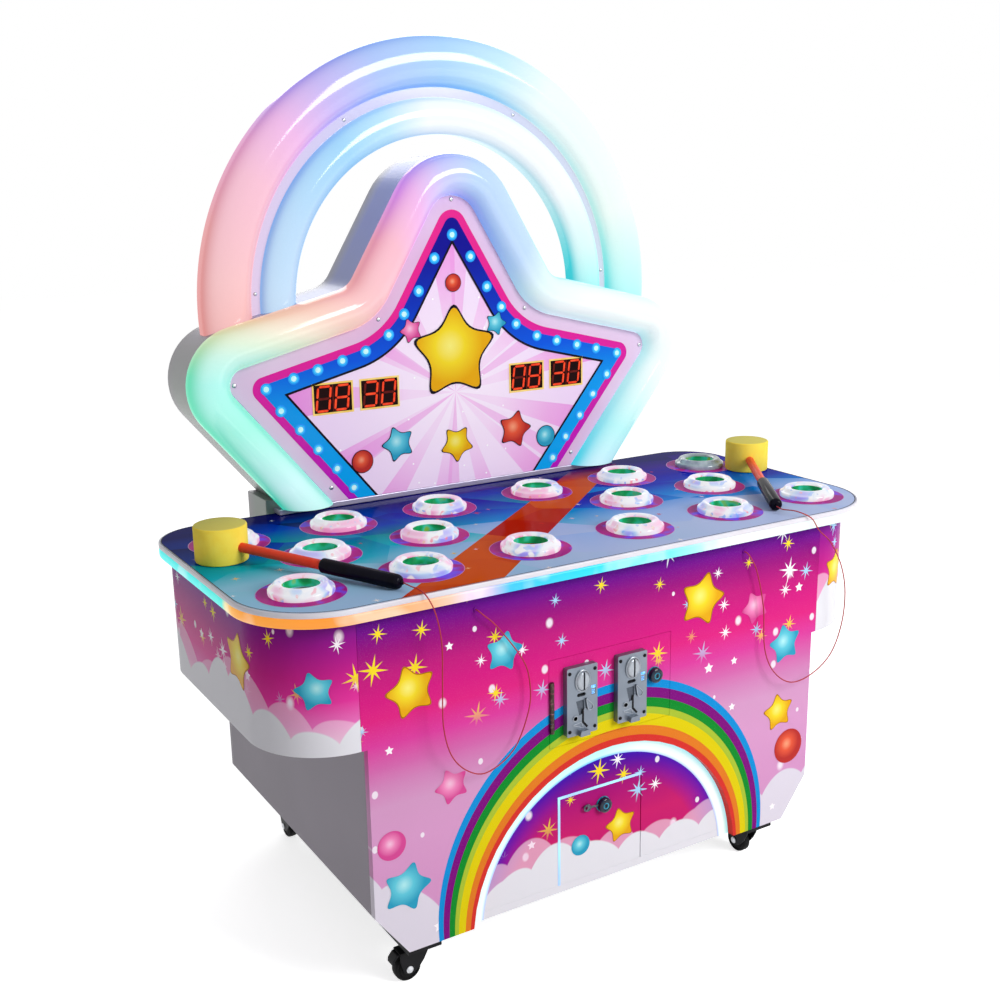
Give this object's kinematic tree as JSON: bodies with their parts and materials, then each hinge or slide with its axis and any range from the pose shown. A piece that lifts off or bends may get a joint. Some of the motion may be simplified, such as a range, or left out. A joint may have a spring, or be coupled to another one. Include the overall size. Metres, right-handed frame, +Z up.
{
  "type": "mole pounding arcade machine",
  "caption": "Redemption game cabinet on casters: a lit table with pop-up moles, a star-shaped score marquee under a light arch, and two corded mallets.",
  "frame": {"origin": "on the floor, under the middle of the machine's box without its cords", "axes": "+X to the player's right, +Y to the back of the machine, +Z up"},
  "size_m": [1.296, 0.721, 1.6217],
  "materials": {
    "grey_laminate": "grey laminate on board",
    "printed_board": "glossy printed film on board",
    "printed_dark": "glossy printed film on board",
    "black_steel": "black powder coat",
    "black_rubber": "matte",
    "lens": "translucent white, lit from inside",
    "white_trim": "satin",
    "table_board": "bare board",
    "table_print": "glossy printed film with clear domed light rings",
    "mole_green": "glossy",
    "die_cast": "satin die-cast zinc",
    "lock_navy": "glossy",
    "display_black": "glossy black with red segments",
    "star_print": "glossy printed panel",
    "foam_yellow": "matte foam",
    "handle_red": "glossy, with a black grip",
    "cord_red": "satin"
  },
  "bodies": {
    "cabinet": {"arch_lens": "lens", "arch_light": "lens", "base_board": "grey_laminate", "base_frame": "black_steel", "control_box": "black_steel", "cord_left": "cord_red", "cord_right": "cord_red", "display_board": "display_black", "edge_light": "lens", "front_panel": "printed_board", "inner_panel": "printed_dark", "marquee_base": "grey_laminate", "marquee_housing": "grey_laminate", "mole_bed": "black_steel", "playfield": "table_print", "rear_cover": "grey_laminate", "side_panel_left": "grey_laminate", "side_panel_right": "grey_laminate", "skirt_left": "printed_board", "skirt_right": "printed_board", "star_lens": "lens", "star_panel": "star_print", "table_deck": "table_board", "table_trim": "white_trim"},
    "mole_01": {"mole_01": "mole_green"},
    "mole_02": {"mole_02": "mole_green"},
    "mole_03": {"mole_03": "mole_green"},
    "mole_04": {"mole_04": "mole_green"},
    "mole_05": {"mole_05": "mole_green"},
    "mole_06": {"mole_06": "mole_green"},
    "mole_07": {"mole_07": "mole_green"},
    "mole_08": {"mole_08": "mole_green"},
    "mole_09": {"mole_09": "mole_green"},
    "mole_10": {"mole_10": "mole_green"},
    "mole_11": {"mole_11": "mole_green"},
    "mole_12": {"mole_12": "mole_green"},
    "mole_13": {"mole_13": "mole_green"},
    "mole_14": {"mole_14": "mole_green"},
    "mole_15": {"mole_15": "mole_green"},
    "mole_16": {"mole_16": "mole_green"},
    "caster_front_left": {"caster_front_left_fork": "black_steel"},
    "caster_front_left_wheel": {"caster_front_left_wheel": "black_rubber"},
    "caster_front_right": {"caster_front_right_fork": "black_steel"},
    "caster_front_right_wheel": {"caster_front_right_wheel": "black_rubber"},
    "caster_rear_left": {"caster_rear_left_fork": "black_steel"},
    "caster_rear_left_wheel": {"caster_rear_left_wheel": "black_rubber"},
    "caster_rear_right": {"caster_rear_right_fork": "black_steel"},
    "caster_rear_right_wheel": {"caster_rear_right_wheel": "black_rubber"},
    "coin_door": {"coin_door": "printed_board", "coin_mech_left": "die_cast", "coin_mech_right": "die_cast"},
    "coin_lock": {"coin_lock": "lock_navy"},
    "cash_door": {"cash_door": "printed_dark"},
    "cash_lock": {"cash_lock": "lock_navy"},
    "reject_button_left": {"reject_button_left": "die_cast"},
    "mallet_left": {"mallet_left_head": "foam_yellow", "mallet_left_handle": "handle_red"},
    "reject_button_right": {"reject_button_right": "die_cast"},
    "mallet_right": {"mallet_right_head": "foam_yellow", "mallet_right_handle": "handle_red"}
  },
  "joints": [
    {"name": "mole_01_pop", "type": "slide", "parent": "cabinet", "child": "mole_01", "axis": [0, 0, 1], "range_m": [0, 0.045]},
    {"name": "mole_02_pop", "type": "slide", "parent": "cabinet", "child": "mole_02", "axis": [0, 0, 1], "range_m": [0, 0.045]},
    {"name": "mole_03_pop", "type": "slide", "parent": "cabinet", "child": "mole_03", "axis": [0, 0, 1], "range_m": [0, 0.045]},
    {"name": "mole_04_pop", "type": "slide", "parent": "cabinet", "child": "mole_04", "axis": [0, 0, 1], "range_m": [0, 0.045]},
    {"name": "mole_05_pop", "type": "slide", "parent": "cabinet", "child": "mole_05", "axis": [0, 0, 1], "range_m": [0, 0.045]},
    {"name": "mole_06_pop", "type": "slide", "parent": "cabinet", "child": "mole_06", "axis": [0, 0, 1], "range_m": [0, 0.045]},
    {"name": "mole_07_pop", "type": "slide", "parent": "cabinet", "child": "mole_07", "axis": [0, 0, 1], "range_m": [0, 0.045]},
    {"name": "mole_08_pop", "type": "slide", "parent": "cabinet", "child": "mole_08", "axis": [0, 0, 1], "range_m": [0, 0.045]},
    {"name": "mole_09_pop", "type": "slide", "parent": "cabinet", "child": "mole_09", "axis": [0, 0, 1], "range_m": [0, 0.045]},
    {"name": "mole_10_pop", "type": "slide", "parent": "cabinet", "child": "mole_10", "axis": [0, 0, 1], "range_m": [0, 0.045]},
    {"name": "mole_11_pop", "type": "slide", "parent": "cabinet", "child": "mole_11", "axis": [0, 0, 1], "range_m": [0, 0.045]},
    {"name": "mole_12_pop", "type": "slide", "parent": "cabinet", "child": "mole_12", "axis": [0, 0, 1], "range_m": [0, 0.045]},
    {"name": "mole_13_pop", "type": "slide", "parent": "cabinet", "child": "mole_13", "axis": [0, 0, 1], "range_m": [0, 0.045]},
    {"name": "mole_14_pop", "type": "slide", "parent": "cabinet", "child": "mole_14", "axis": [0, 0, 1], "range_m": [0, 0.045]},
    {"name": "mole_15_pop", "type": "slide", "parent": "cabinet", "child": "mole_15", "axis": [0, 0, 1], "range_m": [0, 0.045]},
    {"name": "mole_16_pop", "type": "slide", "parent": "cabinet", "child": "mole_16", "axis": [0, 0, 1], "range_m": [0, 0.045]},
    {"name": "caster_front_left_swivel", "type": "hinge", "parent": "cabinet", "child": "caster_front_left", "pos_m": [-0.38, -0.2675, 0.071], "axis": [0, 0, 1], "continuous": true},
    {"name": "caster_front_left_roll", "type": "hinge", "parent": "caster_front_left", "child": "caster_front_left_wheel", "pos_m": [-0.398, -0.2675, 0.025], "axis": [0, 1, 0], "continuous": true},
    {"name": "caster_front_right_swivel", "type": "hinge", "parent": "cabinet", "child": "caster_front_right", "pos_m": [0.38, -0.2675, 0.071], "axis": [0, 0, 1], "continuous": true},
    {"name": "caster_front_right_roll", "type": "hinge", "parent": "caster_front_right", "child": "caster_front_right_wheel", "pos_m": [0.38, -0.2495, 0.025], "axis": [1, 0, 0], "continuous": true},
    {"name": "caster_rear_left_swivel", "type": "hinge", "parent": "cabinet", "child": "caster_rear_left", "pos_m": [-0.38, 0.2925, 0.071], "axis": [0, 0, 1], "continuous": true},
    {"name": "caster_rear_left_roll", "type": "hinge", "parent": "caster_rear_left", "child": "caster_rear_left_wheel", "pos_m": [-0.38, 0.3105, 0.025], "axis": [1, 0, 0], "continuous": true},
    {"name": "caster_rear_right_swivel", "type": "hinge", "parent": "cabinet", "child": "caster_rear_right", "pos_m": [0.38, 0.2925, 0.071], "axis": [0, 0, 1], "continuous": true},
    {"name": "caster_rear_right_roll", "type": "hinge", "parent": "caster_rear_right", "child": "caster_rear_right_wheel", "pos_m": [0.38, 0.3105, 0.025], "axis": [1, 0, 0], "continuous": true},
    {"name": "coin_door_hinge", "type": "hinge", "parent": "cabinet", "child": "coin_door", "pos_m": [-0.1322, -0.3305, 0.3908], "axis": [0, 0, -1], "range_deg": [0, 110]},
    {"name": "coin_lock_turn", "type": "hinge", "parent": "coin_door", "child": "coin_lock", "pos_m": [0.09, -0.3275, 0.479], "axis": [0, -1, 0], "range_deg": [0, 90]},
    {"name": "cash_door_hinge", "type": "hinge", "parent": "cabinet", "child": "cash_door", "pos_m": [0, -0.3122, 0.1083], "axis": [1, 0, 0], "range_deg": [0, 90]},
    {"name": "cash_lock_turn", "type": "hinge", "parent": "cash_door", "child": "cash_lock", "pos_m": [-0.0105, -0.3122, 0.2437], "axis": [0, -1, 0], "range_deg": [0, 90]},
    {"name": "reject_left_press", "type": "slide", "parent": "coin_door", "child": "reject_button_left", "axis": [0, 1, 0], "range_m": [0, 0.003], "stiffness_N_per_m": 150},
    {"name": "mallet_left_lift", "type": "slide", "parent": "cabinet", "child": "mallet_left", "axis": [0, 0, 1], "range_m": [0, 0.3]},
    {"name": "reject_right_press", "type": "slide", "parent": "coin_door", "child": "reject_button_right", "axis": [0, 1, 0], "range_m": [0, 0.003], "stiffness_N_per_m": 150},
    {"name": "mallet_right_lift", "type": "slide", "parent": "cabinet", "child": "mallet_right", "axis": [0, 0, 1], "range_m": [0, 0.3]}
  ]
}
